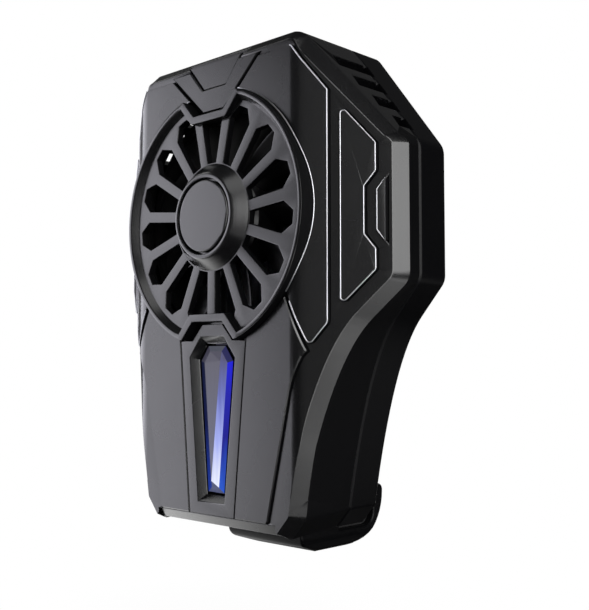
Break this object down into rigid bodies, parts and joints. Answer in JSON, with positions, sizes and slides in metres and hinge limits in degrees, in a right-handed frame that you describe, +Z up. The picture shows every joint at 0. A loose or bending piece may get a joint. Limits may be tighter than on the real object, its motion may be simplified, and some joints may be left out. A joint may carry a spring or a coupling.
{
  "type": "phone cooling fan",
  "caption": "Clip-on phone cooler: folded dark housing with a notched round fan grille, tapered light strip, cold plate at the rear and a sprung sliding clamp jaw.",
  "frame": {"origin": "centre of the cold plate's outer face, on the fan axis", "axes": "+Y points out of the cold plate into the phone, +Z is up along the body towards the fixed hook, +X is to the right seen from the fan side"},
  "size_m": [0.062, 0.0338, 0.0795],
  "materials": {
    "shell_plastic": "satin black moulded plastic",
    "rear_plastic": "fine-textured black moulded plastic",
    "panel_plastic": "satin gunmetal moulded plastic",
    "grille_plastic": "satin gunmetal moulded plastic",
    "cap_plastic": "satin gunmetal moulded plastic",
    "lens_acrylic": "tinted clear acrylic",
    "circuit_board": "solder-masked glass-fibre board",
    "fan_plastic": "black moulded plastic",
    "ferrite": "sintered ferrite",
    "steel": "plain steel",
    "bronze": "sintered bronze",
    "copper": "enamelled copper wire",
    "aluminium": "extruded aluminium",
    "ceramic": "white alumina",
    "foam": "closed-cell foam",
    "clamp_plastic": "satin black moulded plastic",
    "silicone": "soft silicone"
  },
  "bodies": {
    "housing": {"front_shell": "shell_plastic", "rear_shell": "rear_plastic", "upper_panel_left": "panel_plastic", "upper_panel_right": "panel_plastic", "lower_panel_left": "panel_plastic", "lower_panel_right": "panel_plastic", "collar_trim": "panel_plastic", "top_inset": "panel_plastic", "side_panel_left": "panel_plastic", "side_panel_right": "panel_plastic", "side_insert_left": "panel_plastic", "side_insert_right": "panel_plastic", "fan_grille": "grille_plastic", "hub_cap": "cap_plastic", "light_bezel": "panel_plastic", "light_lens": "lens_acrylic", "led_board": "circuit_board", "bearing_sleeve": "bronze", "motor_stator": "steel", "motor_coils": "copper", "fan_frame": "fan_plastic", "fan_screws": "steel", "heat_sink": "aluminium", "peltier_module": "ceramic", "foam_seal": "foam", "cold_plate": "aluminium", "control_board": "circuit_board", "usb_socket": "steel", "upper_hook": "clamp_plastic", "upper_hook_pad": "silicone", "hook_screws": "steel", "slider_guide": "fan_plastic", "spring_left": "steel", "spring_right": "steel", "shell_screws": "steel"},
    "rotor": {"fan_rotor": "fan_plastic", "rotor_magnet": "ferrite", "rotor_shaft": "steel"},
    "jaw": {"lower_jaw": "clamp_plastic", "lower_jaw_pad": "silicone"}
  },
  "joints": [
    {"name": "rotor_spin", "type": "hinge", "parent": "housing", "child": "rotor", "pos_m": [0, -0.0158, 0], "axis": [0, 1, 0], "continuous": true},
    {"name": "jaw_slide", "type": "slide", "parent": "housing", "child": "jaw", "axis": [0, 0, -1], "range_m": [0, 0.0222], "stiffness_N_per_m": 300, "springref_m": -0.012, "deforming": ["spring_left", "spring_right"]}
  ]
}
